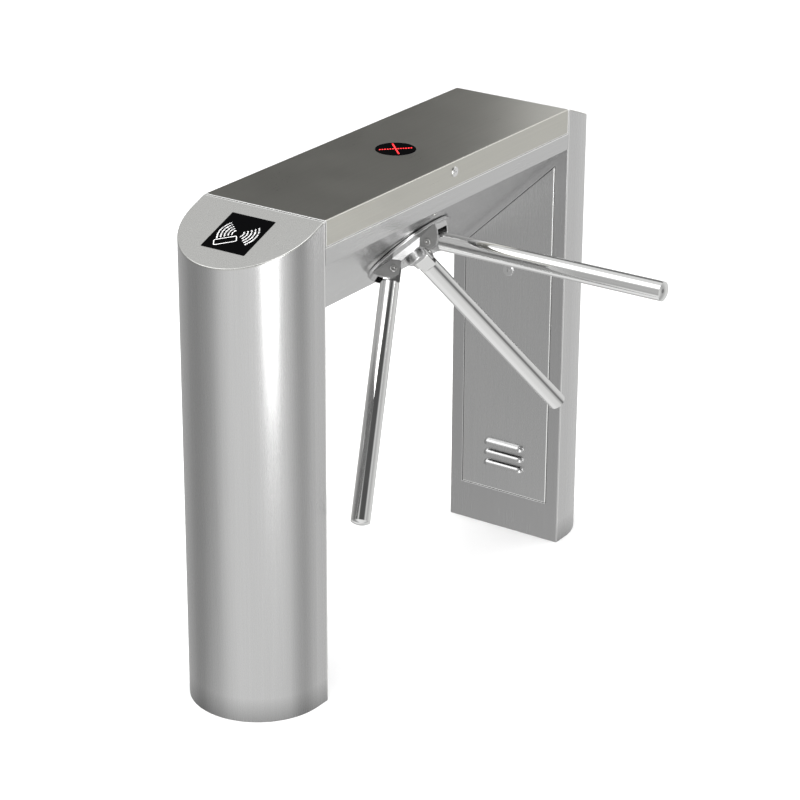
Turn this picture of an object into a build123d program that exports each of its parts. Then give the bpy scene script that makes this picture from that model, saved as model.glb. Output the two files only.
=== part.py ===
"""Bridge-type tripod turnstile that counts visitors.

Frame: millimetres, +Z up, origin on the floor at the centre of the cabinet's
footprint. The passage is on the +X side, the cabinet is long along Y, and the
leg with the card reader is the near leg, at -Y.
"""
import os
from math import atan, cos, degrees, radians, sin, tan

from build123d import *

# ---------------------------------------------------------------- cabinet
total_length = 1200.0        # over both rounded ends, along Y
width = 275.0                # cabinet across X
height = 980.0               # floor to lid
end_straight = 36.0          # flat part of each leg's sides before its half circle
sheet = 1.5                  # cabinet sheet metal
panel_sheet = 2.0            # flat panels that close the legs
bend = 3.5                   # outside radius where sheet is folded
cap_plate = 3.0
cap_round = 2.4              # rounded rim of the caps
panel_round = 1.8            # outer corners of the panels that close the legs
opening_round = 1.4          # edge of the door openings
hem_round = 0.6              # lower edge of the lid's skirt
fit_gap = 0.5                # clearance between parts that come apart
seam = 0.8                   # open joint between lid, legs and beam

end_slope = 20.5             # fall of both leg caps, degrees
cap_flange = 14.0            # turned-down flange inside each cap
front_band = 85.5            # upright front of the beam, under the lid's top
back_depth = 347.0           # depth of the beam at its back
lid_skirt = 51.0             # turned-down front and back of the lid
lip_reach = 16.0             # beam's inner lip above and below the seam
lip_sheet = 1.5
bulkhead_plate = 4.0
bulkhead_rim = 26.0          # width of the bulkhead's frame
bulkhead_bolt = 8.0
face_screw_place = (130.2, -57.9)     # X, Y on the beam's sloping face
face_screw = 2.5             # radius
face_screw_head = (4.2, 2.2)         # radius, height
face_screw_length = 7.0

base_plate = 10.0
anchor_bore = 14.0
anchor_x = 85.0              # anchor holes from the middle plane
anchor_inner = 30.0          # first row of anchor holes from the leg's flat side
anchor_outer = 105.0         # second row
outer_anchor_x = 55.0
conduit_bore = 60.0

# ---------------------------------------------------------------- doors
door_half = 107.5            # half width, to the middle of the side gap
door_bottom = 85.5
door_gap = 1.0               # gap all round a door
door_head = 14.0             # panel left between a door's top and the beam
door_depth = 12.0            # folded edge of the door tray
door_round = 2.2
groove_bottom = 45.0         # scored lines run on below each door
groove_radius = 1.3
hook_width = 24.0
hook_drop = 14.0
hook_spread = 70.0
louvre_half = 50.0
louvre_radius = 12.0
louvre_wall = 1.2
louvre_top = 206.0
louvre_pitch = 24.5
louvre_count = 3
door_lock_height = 602.6
keeper_gap = 4.0             # door tray to keeper rail
keeper_height = 26.0
keeper_plate = 3.0
keeper_foot = 18.0

# ---------------------------------------------------------------- locks
lock_flange = 13.0           # radius
lock_flange_proud = 2.5
lock_barrel = 9.5
lock_barrel_depth = 20.0
lock_plug = 6.0
lock_plug_proud = 0.8
lock_running = 0.1
key_slot = (1.6, 7.0, 3.0)   # width, height, depth
lock_cam_width = 14.0
lock_cam_reach = 34.0
lock_cam_plate = 2.5
lid_lock_scale = 0.78        # the lid's lock is the same lock, smaller
lid_lock_drop = 20.3         # under the lid's top
lid_keeper_gap = 3.5
lid_keeper_width = 14.0

# ---------------------------------------------------------------- hinge
hinge_spread = 280.0
hinge_leaf = 2.0
hinge_leaf_height = 24.0
hinge_knuckle = 4.0          # radius
hinge_knuckle_length = 26.0
hinge_wall_gap = 0.4         # knuckle to the back of the cabinet
hinge_pin = 2.0
hinge_running = 0.08

# ---------------------------------------------------------------- reader and indicator
window_width = 98.0
window_length = 103.0
window_start = 33.0          # along the slope from the lid's end
window_plate = 4.0
window_proud = 0.6
module_width = 84.0
module_depth = 16.0
indicator_radius = 40.5
indicator_proud = 0.8
face_plate = 3.0             # indicator's front plate
indicator_wall = 2.5
indicator_depth = 20.0
led_radius = 2.1
led_pitch = 5.2
led_per_arm = 6
lamp_foot = 4.0              # lamps under the front plate, down to their board
led_clear = 0.15             # lamp to its hole, radius
led_proud = 0.6              # lamps over the front plate

# ---------------------------------------------------------------- rotor
collar_wedge = 2.4414        # rotor axis to the normal of the beam's sloping face, degrees
arm_cone = 44.0              # each arm from the axis, as far as the axis dips, so the upper arm lies level
apex_x = 2.3                 # where the arms' centre lines meet
rim_clear = 2.0              # disc's upper edge to the beam's sloping face
disc_radius = 100.0
disc_back = 40.4             # from the apex, along the axis
disc_plate = 5.0
collar_gap = 3.0             # collar to turning disc
collar_radius = 97.0
collar_wall = 8.0
face_hole = 78.0             # radius of the opening in the beam's sloping face

core_inradius = 42.0         # three-sided core between the forks, at the disc
core_top_inradius = 34.6
core_height = 12.5
spindle_radius = 22.0
spindle_top = 70.5
hub_cap_radius = 20.0
hub_cap_height = 5.0

pivot_reach = 88.0           # arm pivot from the apex, along the arm
fork_slot = 31.0             # between a fork's cheeks
fork_cheek = 3.0
fork_cover = 1.5
cover_inset = 1.2
fork_wall = 4.0              # outer end wall of each fork
fork_wall_top = 62.0
slot_floor = 45.4
slot_start = 36.0
pivot_bolt = 5.0             # radius
pivot_running = 0.1
pivot_head = 7.0
pivot_head_height = 3.2
pivot_socket = (3.0, 2.0)    # radius, depth

arm_radius = 19.0
arm_wall = 2.0
arm_tip = 606.0              # apex to the end of the arm
arm_start = 116.0            # apex to the inner end of the tube
arm_cap_height = 9.0
arm_cap_shoulder = 3.0
knuckle_width = 30.0
knuckle_radius = 17.0
knuckle_shoulder = 4.0
spigot_length = 45.0
spigot_clear = 0.1

# ---------------------------------------------------------------- mechanism, distances along the rotor axis
chassis_front = 24.0
chassis_thick = 6.0
chassis_half_u = 85.0
chassis_half_y = 130.0
spacer_radius = 8.0
spacer_u = 65.0
spacer_y = 110.0
shaft_radius = 12.5
shaft_end = -128.0
shaft_flange = 36.0
shaft_flange_thick = 6.5
bearing_outer = 26.0
bearing_width = 15.0
bearing_running = 0.05
bearing_starts = (0.0, -60.0)
housing_radius = 36.0
housing_flange = 49.0
housing_flange_thick = 8.0
housing_end = -62.0
housing_lip = 20.0
gear_module = 2.0
gear_teeth = 60
pinion_teeth = 20
gear_backlash = 0.3          # added to the centre distance
gear_front = -67.0
gear_width = 12.0
gear_boss = 20.0
gear_boss_length = 15.5
motor_radius = 30.0
motor_length = 74.0
motor_nose = 14.0
motor_nose_length = 6.0
motor_shaft = 5.0
post_radius = 6.0
post_u = 50.0
post_y = 58.0
rear_front = -112.0
rear_thick = 6.0
rear_half_u = 60.0
rear_half_y = 68.0
brake_radius = 42.0
brake_bore = 20.0
brake_depth = 18.0
armature_gap = 0.8
armature_radius = 40.0
armature_thick = 5.0
armature_running = 0.1
brake_hub_radius = 15.0
brake_hub_flange = 24.0
brake_hub_flange_thick = 4.8
brake_hub_gap = 0.4
encoder_radius = 30.0
encoder_front = -122.5
encoder_thick = 1.5
encoder_slots = 24
sensor_size = (16.0, 22.0)   # along the radius, across it

# ---------------------------------------------------------------- electronics
board_size = (110.0, 170.0, 1.6)     # up, along Y, thick
board_centre = (-250.0, 160.0)       # along Y, down from the lid's top
board_standoff = 10.0
supply_size = (40.0, 165.0, 98.0)    # X, Y, Z
supply_centre = (260.0, 160.0)       # along Y, down from the lid's top
supply_foot = 4.0

# ---------------------------------------------------------------- worked out
half_width = width / 2
lid_half = total_length / 2 - end_straight - half_width
end_centre = lid_half + end_straight
seam_height = height - lid_skirt
band_bottom = height - front_band
back_bottom = height - back_depth
lid_lock_height = height - lid_lock_drop
face_slope = (band_bottom - back_bottom) / width
slope = radians(end_slope)
tilt = radians(90 - collar_wedge) - atan(face_slope)
rim_x = apex_x + disc_back * cos(tilt) + disc_radius * sin(tilt)
rim_z = band_bottom - face_slope * (half_width - rim_x) - rim_clear * (1 + face_slope ** 2) ** 0.5
apex_z = rim_z + disc_back * sin(tilt) - disc_radius * cos(tilt)
rotor_plane = Plane(
    origin=(apex_x, 0, apex_z),
    x_dir=(sin(tilt), 0, cos(tilt)),
    z_dir=(cos(tilt), 0, -sin(tilt)),
)
disc_front = disc_back + disc_plate
pivot_radius = pivot_reach * sin(radians(arm_cone))
pivot_height = pivot_reach * cos(radians(arm_cone))
cheek_face = fork_slot / 2 + fork_cheek
cover_face = cheek_face + fork_cover
arm_turns = {"top": 0.0, "near": 120.0, "far": -120.0}
hinge_x = -(half_width + hinge_wall_gap + hinge_knuckle)
hinge_z = seam_height
far = 1
near = -1


def block(x0, x1, y0, y1, z0, z1):
    """A box between two corners."""
    size = Box(x1 - x0, y1 - y0, z1 - z0)
    return Pos((x0 + x1) / 2, (y0 + y1) / 2, (z0 + z1) / 2) * size


def rod(radius, z0, z1):
    """A cylinder on the Z axis."""
    return Pos(0, 0, (z0 + z1) / 2) * Cylinder(radius, z1 - z0)


def ring(outer, inner, z0, z1):
    """A tube on the Z axis."""
    return rod(outer, z0, z1) - rod(inner, z0 - 1, z1 + 1)


def union(solids):
    """Many solids as one."""
    total = solids[0]
    for solid in solids[1:]:
        total = total + solid
    return total


def for_side(solid, side):
    """A leg's piece is drawn at the far leg and mirrored for the near one."""
    return solid if side == far else mirror(solid, about=Plane.XZ)


def on_rotor(solid):
    """From the rotor's own frame, with its axis along Z, to the cabinet's."""
    return rotor_plane.location * solid


def beam_face_height(x):
    """Height of the beam's sloping face at x."""
    return band_bottom - face_slope * (half_width - x)


# ================================================================ legs
def leg_outline(inset, start):
    """The D-shaped outline of a leg, from a flat side at y = start."""
    r = half_width - inset
    edges = [
        Line((-r, start), (r, start)),
        Line((r, start), (r, end_centre)),
        ThreePointArc((r, end_centre), (0, end_centre + r), (-r, end_centre)),
        Line((-r, end_centre), (-r, start)),
    ]
    return make_face(edges)


def under_cap(drop, start):
    """Everything in the leg that is below the cap's slope, lowered by drop."""
    reach = half_width + end_straight + 10
    profile = [
        (start, -1),
        (lid_half + reach, -1),
        (lid_half + reach, height - drop - reach * tan(slope)),
        (start, height - drop - (start - lid_half) * tan(slope)),
    ]
    face = Plane.YZ * make_face(Polyline(*profile, close=True))
    return extrude(face, amount=width, both=True)


def leg_shell():
    start = lid_half + panel_sheet
    outer = extrude(leg_outline(0, start), amount=height)
    inner = Pos(0, 0, -1) * extrude(leg_outline(sheet, start - 1), amount=height + 2)
    return (outer - inner) & under_cap(cap_plate / cos(slope), start)


def leg_cap():
    cap_drop = cap_plate / cos(slope)
    outer = extrude(leg_outline(0, lid_half), amount=height)
    plate = outer & under_cap(0, lid_half)
    plate = fillet(plate.faces().sort_by(Axis.Z)[-1].edges(), cap_round)
    plate = plate - under_cap(cap_drop, lid_half - 5)
    flange_out = sheet + fit_gap / 2
    start = lid_half + panel_sheet + fit_gap / 2
    inside = extrude(leg_outline(flange_out, start), amount=height)
    hollow = extrude(leg_outline(flange_out + sheet, start + sheet), amount=height)
    flange = (inside - hollow) & under_cap(cap_drop, start - 1)
    flange = flange - under_cap(cap_drop + cap_flange, start - 2)
    return plate + flange


def on_slope(solid, along, side=near):
    """From a frame with Z up out of the near cap's slope to the cabinet's."""
    y = lid_half + along * cos(slope)
    z = height - along * sin(slope)
    return Pos(0, side * y, z) * Rot(-side * end_slope, 0, 0) * solid


def window_middle():
    return window_start + window_length / 2


def near_leg_cap():
    opening = Box(window_width + fit_gap, window_length + fit_gap, 3 * cap_plate)
    return for_side(leg_cap(), near) - on_slope(opening, window_middle())


def door_outline(inset):
    """A door's face, its top cut parallel to the beam above it."""
    left = -door_half + inset
    right = door_half - inset
    bottom = door_bottom + inset
    lower = door_head + inset
    profile = [
        (left, bottom),
        (right, bottom),
        (right, beam_face_height(right) - lower),
        (left, beam_face_height(left) - lower),
    ]
    return Polyline(*profile, close=True)


def door_prism(inset, y0, y1):
    """The door's outline between two planes across Y."""
    face = Plane.XZ * make_face(door_outline(inset))
    return Pos(0, y1, 0) * extrude(face, amount=y1 - y0)


def inner_panel():
    top = height - cap_plate / cos(slope) - panel_sheet * tan(slope)
    panel = block(-half_width, half_width, lid_half, lid_half + panel_sheet, 0, top)
    corners = panel.edges().filter_by(Axis.Z).group_by(Axis.Y)[0]
    panel = fillet(corners, panel_round)
    panel = panel - door_prism(-door_gap / 2, lid_half - 1, lid_half + panel_sheet + 1)
    rim = panel.faces().sort_by(Axis.Y)[0].inner_wires()[0].edges()
    panel = fillet(rim, opening_round)
    for x in (-door_half, door_half):
        score = Pos(x, lid_half, 0) * rod(groove_radius, groove_bottom, door_bottom)
        panel = panel - score
    for x, z in bulkhead_bolt_places():
        hole = Pos(x, lid_half, z) * Rot(90, 0, 0) * Cylinder(bulkhead_bolt / 2, 8 * panel_sheet)
        panel = panel - hole
    return panel - cable_way(lid_half, 8 * panel_sheet)


def leg_base():
    plate = extrude(leg_outline(sheet, lid_half + panel_sheet), amount=base_plate)
    for x in (-anchor_x, anchor_x):
        plate = plate - Pos(x, lid_half + anchor_inner, 0) * rod(anchor_bore / 2, -1, base_plate + 1)
    for x in (-outer_anchor_x, outer_anchor_x):
        plate = plate - Pos(x, lid_half + anchor_outer, 0) * rod(anchor_bore / 2, -1, base_plate + 1)
    middle = lid_half + (anchor_inner + anchor_outer) / 2
    return plate - Pos(0, middle, 0) * rod(conduit_bore / 2, -1, base_plate + 1)


# ================================================================ doors and locks
def louvre(z):
    """A pressed hood, open underneath."""
    straight = louvre_half - louvre_radius
    def capsule(radius):
        bar = Rot(0, 90, 0) * Cylinder(radius, 2 * straight)
        ends = [Pos(x, 0, 0) * Sphere(radius) for x in (-straight, straight)]
        return union([bar] + ends)
    shell = capsule(louvre_radius) - capsule(louvre_radius - louvre_wall)
    keep = block(-louvre_half, louvre_half, -louvre_radius, 0, 0, louvre_radius)
    return Pos(0, lid_half, z - louvre_radius) * (shell & keep)


def louvre_slot(z):
    inner = louvre_radius - louvre_wall
    straight = louvre_half - louvre_radius
    return block(-straight, straight, lid_half - 1, lid_half + panel_sheet + 1,
                 z - louvre_radius, z - louvre_radius + inner)


def door():
    """Tray with folded edges, hooks at its foot, a lock and three louvres."""
    face_back = lid_half + panel_sheet
    inset = door_gap / 2
    tray = door_prism(inset, lid_half, lid_half + door_depth)
    tray = fillet(tray.faces().sort_by(Axis.Y)[0].edges(), door_round)
    tray = tray - door_prism(inset + sheet, face_back, lid_half + door_depth + 1)
    for x in (-hook_spread, hook_spread):
        behind = face_back + fit_gap
        foot = door_bottom + inset
        tray = tray + block(x - hook_width / 2, x + hook_width / 2, behind, behind + panel_sheet,
                            foot - hook_drop, foot + sheet)
    for step in range(louvre_count):
        z = louvre_top - step * louvre_pitch
        tray = (tray - louvre_slot(z)) + louvre(z)
    barrel_hole = Pos(0, lid_half, door_lock_height) * Rot(90, 0, 0)
    return tray - barrel_hole * Cylinder(lock_barrel, 6 * panel_sheet)


def lock_body():
    """Lock barrel, its face at z = 0 and its body reaching down to -Z."""
    flange = rod(lock_flange, 0, lock_flange_proud)
    flange = chamfer(flange.edges().group_by(Axis.Z)[-1], lock_flange_proud / 3)
    barrel = rod(lock_barrel, -lock_barrel_depth, 0)
    bore = rod(lock_plug + lock_running, -lock_barrel_depth - 1, lock_flange_proud + 1)
    return flange + barrel - bore


def lock_cam():
    """The turning plug with its key slot, and the cam on its inner end."""
    plug = rod(lock_plug, -lock_barrel_depth - fit_gap, lock_flange_proud + lock_plug_proud)
    top = lock_flange_proud + lock_plug_proud
    slot_x, slot_y, slot_deep = key_slot
    plug = plug - block(-slot_x / 2, slot_x / 2, -slot_y / 2, slot_y / 2, top - slot_deep, top + 1)
    low = -lock_barrel_depth - fit_gap - lock_cam_plate
    high = -lock_barrel_depth - fit_gap
    arm = block(0, lock_cam_reach - lock_cam_width / 2, -lock_cam_width / 2, lock_cam_width / 2, low, high)
    tip = Pos(lock_cam_reach - lock_cam_width / 2, 0, 0) * rod(lock_cam_width / 2, low, high)
    return union([plug, rod(lock_barrel, low, high), arm, tip])


def on_door(solid, side):
    """Lock frame to the door: Z out of the door's face."""
    placed = Pos(0, lid_half, door_lock_height) * Rot(90, 0, 0) * solid
    return for_side(placed, side)


def on_lid_front(solid):
    """Lock frame to the lid's front skirt: Z towards the passage."""
    return Pos(half_width, 0, lid_lock_height) * Rot(0, 90, 0) * scale(solid, by=lid_lock_scale)


def door_keeper():
    """Rail across the leg, behind the door, that the lock's cam turns behind."""
    y0 = lid_half + door_depth + keeper_gap
    z0 = door_lock_height + lock_cam_width / 2 + keeper_gap
    reach = door_half + keeper_foot
    rail = block(-reach, reach, y0, y0 + keeper_plate, z0, z0 + keeper_height)
    for x0, x1 in ((-reach, -door_half - keeper_gap), (door_half + keeper_gap, reach)):
        rail = rail + block(x0, x1, lid_half + panel_sheet, y0, z0, z0 + keeper_height)
    return rail


# ================================================================ beam
def beam_profile(top, inset):
    """The beam's section, open to a height, moved inwards by inset."""
    run = (1 + face_slope ** 2) ** 0.5
    x_out = half_width - inset
    def face_z(x):
        return beam_face_height(x) + inset * run
    profile = [
        (-x_out, face_z(-x_out)),
        (x_out, face_z(x_out)),
        (x_out, top),
        (-x_out, top),
    ]
    section = make_face(Polyline(*profile, close=True))
    radius = bend - min(inset, sheet)
    return fillet(section.vertices().sort_by(Axis.Y)[:2], radius)


def beam_prism(top, inset, half_length):
    return extrude(Plane.XZ * beam_profile(top, inset), amount=half_length, both=True)


def lip(x_sign):
    """Inner lip that the lid's skirt drops over."""
    wall = half_width - sheet
    low = block(wall - lip_sheet - fit_gap, wall, -lid_half, lid_half, seam_height - lip_reach,
                seam_height - seam)
    high = block(wall - lip_sheet - fit_gap, wall - fit_gap, -lid_half, lid_half,
                 seam_height - seam, seam_height + lip_reach)
    both = low + high
    return both if x_sign > 0 else mirror(both, about=Plane.YZ)


def lid_keeper():
    """Tab over the place where the lid lock's cam turns to."""
    wall = half_width - sheet - fit_gap
    reach = (lock_barrel_depth + 2 * lock_cam_plate) * lid_lock_scale
    under = lid_lock_height + lock_cam_width * lid_lock_scale / 2 + lid_keeper_gap
    y0 = lock_cam_reach * lid_lock_scale - lid_keeper_width / 2
    post = block(wall - lip_sheet, wall, y0, y0 + lid_keeper_width, seam_height, under + lip_sheet)
    tab = block(wall - reach, wall, y0, y0 + lid_keeper_width, under, under + lip_sheet)
    return post + tab


def on_face_screw(solid):
    """From a frame with Z up out of the sloping face to the cabinet's."""
    x, y = face_screw_place
    turn = 180 - degrees(atan(face_slope))
    return Pos(x, y, beam_face_height(x)) * Rot(0, turn, 0) * solid


def face_button_screw():
    radius, head = face_screw_head
    crown = fillet(rod(radius, 0, head).edges().group_by(Axis.Z)[-1], 0.8 * head)
    socket = Pos(0, 0, head / 2) * extrude(RegularPolygon(radius / 2, 6), amount=head)
    return on_face_screw((crown - socket) + rod(face_screw, -face_screw_length, 0))


def beam_shell():
    top = seam_height - seam
    shell = beam_prism(top, 0, lid_half) - beam_prism(top + 1, sheet, lid_half + 1)
    shell = union([shell, lip(1), lip(-1), lid_keeper()])
    shell = shell - on_face_screw(rod(face_screw, -2 * sheet, sheet))
    return shell - on_rotor(rod(face_hole, 0, 2 * disc_back))


def bulkhead_bolt_places():
    """Bolts round the joint between beam and leg, in X and Z."""
    middle = bulkhead_rim / 2 + sheet
    side = half_width - middle
    upper = seam_height - 2 * middle
    lower_run = (1 + face_slope ** 2) ** 0.5 * middle
    return [
        (-side, upper),
        (side, upper),
        (-side, (upper + back_bottom) / 2),
        (-side + middle, beam_face_height(-side + middle) + lower_run),
        (side - 2 * middle, beam_face_height(side - 2 * middle) + lower_run),
    ]


def bulkhead():
    """Frame welded in the end of the beam and bolted to the leg's panel."""
    top = seam_height + lip_reach
    face = beam_profile(top, sheet + fit_gap / 2 + lip_sheet + fit_gap)
    hole = beam_profile(top - bulkhead_rim, bulkhead_rim + sheet)
    plate = Plane.XZ * (face - hole)
    frame = Pos(0, lid_half, 0) * extrude(plate, amount=bulkhead_plate)
    for x, z in bulkhead_bolt_places():
        hole = Pos(x, lid_half, z) * Rot(90, 0, 0) * Cylinder(bulkhead_bolt / 2, 6 * bulkhead_plate)
        frame = frame - hole
    return frame


def cable_way(y, depth):
    """Opening for the wiring between beam and leg."""
    x, z = -half_width / 2, (seam_height + back_bottom) / 2
    return Pos(x, y, z) * Rot(90, 0, 0) * Cylinder(conduit_bore / 3, depth)


def hex_bolt(diameter, grip):
    """Bolt with a hexagon head at z = 0 upwards and a nut below its grip."""
    head = extrude(RegularPolygon(diameter * 0.9, 6), amount=diameter * 0.62)
    nut = Pos(0, 0, -grip - diameter * 0.8) * extrude(RegularPolygon(diameter * 0.9, 6), amount=diameter * 0.8)
    return union([head, rod(diameter / 2, -grip - diameter, 0), nut])


def cabinet_bolts():
    """Bolts of the beam's joints and of the bearing housing, and the screw on the beam's face."""
    grip = bulkhead_plate + panel_sheet
    bolts = []
    for side in (near, far):
        for x, z in bulkhead_bolt_places():
            bolt = Pos(x, lid_half - bulkhead_plate, z) * Rot(90, 0, 0) * hex_bolt(bulkhead_bolt, grip)
            bolts.append(for_side(bolt, side))
    for x, y in housing_bolt_places():
        bolt = Pos(x, y, chassis_front) * hex_bolt(bulkhead_bolt, chassis_thick + housing_flange_thick)
        bolts.append(on_rotor(bolt))
    bolts.append(face_button_screw())
    return Compound(bolts)


# ================================================================ lid
def lid():
    half = lid_half - seam
    outer = block(-half_width, half_width, -half, half, seam_height, height)
    inner = block(-half_width + sheet, half_width - sheet, -half - 1, half + 1,
                  seam_height - 1, height - sheet)
    outer = fillet(outer.edges().filter_by(Axis.Y).group_by(Axis.Z)[-1], bend)
    inner = fillet(inner.edges().filter_by(Axis.Y).group_by(Axis.Z)[-1], bend - sheet)
    tray = outer - inner
    hem = tray.edges().filter_by(Axis.Y).group_by(Axis.Z)[0]
    tray = fillet(hem, hem_round)
    tray = tray - rod(indicator_radius, height - 2 * sheet, height + 1)
    hole = Pos(half_width, 0, lid_lock_height) * Rot(0, 90, 0)
    return tray - hole * Cylinder(lock_barrel * lid_lock_scale, 6 * sheet)


def led_places():
    """Two crossing rows of lamps."""
    places = [(0.0, 0.0)]
    for turn in (45, 135, 225, 315):
        for step in range(1, led_per_arm + 1):
            reach = step * led_pitch
            places.append((reach * cos(radians(turn)), reach * sin(radians(turn))))
    return places


def indicator_face():
    """Front plate with a hole for each lamp."""
    top = height + indicator_proud
    plate = rod(indicator_radius - fit_gap / 2, height - face_plate, top)
    plate = fillet(plate.edges().group_by(Axis.Z)[-1], indicator_proud / 2)
    for x, y in led_places():
        plate = plate - Pos(x, y, 0) * rod(led_radius + led_clear, height - face_plate - 1, top + 1)
    return plate


def indicator_leds():
    top = height + indicator_proud + led_proud
    lamp = rod(led_radius, height - face_plate - lamp_foot, top)
    lamp = fillet(lamp.edges().group_by(Axis.Z)[-1], 0.7 * led_radius)
    return Compound([Pos(x, y, 0) * lamp for x, y in led_places()])


def indicator_housing():
    outer = indicator_radius + indicator_wall
    top = height - sheet
    cup = rod(outer, top - indicator_depth, top)
    cup = cup - rod(indicator_radius - indicator_wall, top - indicator_depth + indicator_wall, top + 1)
    under = height - face_plate
    seat = rod(indicator_radius, under, top + 1)
    board = rod(indicator_radius - indicator_wall + fit_gap / 2, under - lamp_foot - 2,
                under - lamp_foot)
    return (cup - seat) + board


# ================================================================ hinges of the lid
def hinge_parts():
    """Base leaf, lid leaf and pin of one hinge at y = 0."""
    length = hinge_knuckle_length
    def knuckle(y):
        tube = Cylinder(hinge_knuckle, length - fit_gap) - Cylinder(hinge_pin, length + 2)
        return Pos(hinge_x, y, hinge_z) * Rot(90, 0, 0) * tube
    def free_knuckle(y):
        bore = Cylinder(hinge_pin + hinge_running, length + 2)
        tube = Cylinder(hinge_knuckle, length - fit_gap) - bore
        return Pos(hinge_x, y, hinge_z) * Rot(90, 0, 0) * tube
    wall = -half_width
    span = 1.5 * length
    rise = hinge_knuckle + 1.0
    base = block(wall - hinge_leaf, wall, -span, span, hinge_z - rise - hinge_leaf_height, hinge_z - rise)
    cover = block(wall - hinge_leaf, wall, -span, span, hinge_z + rise, hinge_z + rise + hinge_leaf_height)
    for y in (-length, length):
        web = block(hinge_x - hinge_leaf / 2, wall - hinge_wall_gap, y - length / 2 + fit_gap,
                    y + length / 2 - fit_gap, hinge_z - rise - hinge_leaf, hinge_z - hinge_pin - 0.5)
        base = union([base, web - pin_space(), knuckle(y)])
    web = block(hinge_x - hinge_leaf / 2, wall - hinge_wall_gap, -length / 2 + fit_gap,
                length / 2 - fit_gap, hinge_z + hinge_pin + 0.5, hinge_z + rise + hinge_leaf)
    cover = union([cover, web - pin_space(), free_knuckle(0)])
    pin = Pos(hinge_x, 0, hinge_z) * Rot(90, 0, 0) * Cylinder(hinge_pin, 3 * length + 2)
    return base, cover, pin


def pin_space():
    bore = Cylinder(hinge_pin + hinge_running, 6 * hinge_knuckle_length)
    return Pos(hinge_x, 0, hinge_z) * Rot(90, 0, 0) * bore


def hinge_group(index):
    """The same piece of both hinges."""
    piece = hinge_parts()[index]
    return Compound([Pos(0, y, 0) * piece for y in (-hinge_spread, hinge_spread)])


# ================================================================ reader
def reader_window():
    glass = Box(window_width, window_length, window_plate)
    glass = fillet(glass.edges().filter_by(Axis.Z), 1.5)
    return on_slope(Pos(0, 0, window_proud - window_plate / 2) * glass, window_middle())


def reader_module():
    top = window_proud - window_plate
    body = block(-module_width / 2, module_width / 2, -module_width / 2, module_width / 2,
                 top - module_depth, top)
    body = fillet(body.edges().group_by(Axis.Z)[0], 2)
    rim = window_width / 2 + 8
    ears = []
    for x0, x1 in ((-rim, -module_width / 2), (module_width / 2, rim)):
        ears.append(block(x0, x1, -8, 8, top - 3, top))
    posts = []
    for x in (-rim + 4, rim - 4):
        posts.append(Pos(x, 0, 0) * rod(3.5, top, -cap_plate))
    return on_slope(union([body] + ears + posts), window_middle())


# ================================================================ rotor
def rotor_collar():
    tube = ring(collar_radius, collar_radius - collar_wall, 0, disc_back - collar_gap)
    return on_rotor(tube) - beam_prism(height, 0, lid_half)


def fork_profile(inset):
    """A fork's cheek in radius and height over the apex."""
    outer = disc_radius - 1 - inset
    base = disc_front - 2 if inset == 0 else disc_front + 0.4
    along = Vector(sin(radians(arm_cone)), cos(radians(arm_cone)))
    across = Vector(-cos(radians(arm_cone)), sin(radians(arm_cone)))
    pivot = Vector(pivot_radius, pivot_height)
    inner_low = pivot + across * (14 - inset) - along * (23 - 4 * inset)
    inner_high = pivot + across * (14 - inset) + along * (9.5 - inset)
    foot = core_inradius * 2 - cheek_face * 3 ** 0.5 + inset
    crown = (pivot_radius + 3.5, pivot_height + 16 - inset)
    middle = (disc_radius - 14 - 0.8 * inset, pivot_height + 5.2 - 0.8 * inset)
    edges = [
        Line((foot, base), (outer, base)),
        Line((outer, base), (outer, disc_front + 5)),
        ThreePointArc((outer, disc_front + 5), middle, crown),
        Line(crown, (inner_high.X, inner_high.Y)),
        Line((inner_high.X, inner_high.Y), (inner_low.X, inner_low.Y)),
        Line((inner_low.X, inner_low.Y), (foot, base)),
    ]
    return Plane.XZ * make_face(edges)


def fork():
    """Two cheeks and an outer end wall, over the X axis."""
    whole = extrude(fork_profile(0), amount=cheek_face, both=True)
    outer = disc_radius - 1 - fork_wall
    gap = fork_slot / 2
    slot = block(slot_start, outer, -gap, gap, slot_floor, 2 * disc_radius)
    above = block(slot_start, 2 * disc_radius, -gap, gap, fork_wall_top, 2 * disc_radius)
    inner = block(0, slot_start + 1, -gap, gap, disc_front + core_height, 2 * disc_radius)
    return whole - slot - above - inner


def tripod_hub():
    disc = rod(disc_radius, disc_back, disc_front)
    disc = fillet(disc.edges().group_by(Axis.Z)[-1], 1.5)
    low = Pos(0, 0, disc_front - 1) * RegularPolygon(core_inradius, 3, major_radius=False)
    high = Pos(0, 0, disc_front + core_height) * RegularPolygon(core_top_inradius, 3, major_radius=False)
    core = loft([low, high])
    core = core & rod(disc_radius - 10, disc_back, spindle_top)
    hub = union([disc, core, rod(spindle_radius, disc_front, spindle_top)])
    gap = fork_slot / 2
    slot = block(slot_start, disc_radius - 1 - fork_wall, -gap, gap, slot_floor, spindle_top)
    bolt = Pos(pivot_radius, 0, pivot_height) * Rot(90, 0, 0) * Cylinder(pivot_bolt, 2 * disc_radius)
    for turn in arm_turns.values():
        hub = hub - Rot(0, 0, turn) * slot
    for turn in arm_turns.values():
        hub = hub + Rot(0, 0, turn) * (fork() - bolt)
    return on_rotor(hub)


def hub_cap():
    cap = rod(hub_cap_radius, spindle_top, spindle_top + hub_cap_height)
    return on_rotor(fillet(cap.edges().group_by(Axis.Z)[-1], hub_cap_height * 0.7))


def fork_cover_plates():
    plates = []
    thickness = extrude(fork_profile(cover_inset), amount=-fork_cover)
    bolt = Pos(pivot_radius, 0, pivot_height) * Rot(90, 0, 0) * Cylinder(pivot_bolt, 2 * disc_radius)
    for turn in arm_turns.values():
        for offset in (cheek_face, -cover_face):
            plates.append(on_rotor(Rot(0, 0, turn) * (Pos(0, offset, 0) * thickness - bolt)))
    return Compound(plates)


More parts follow.
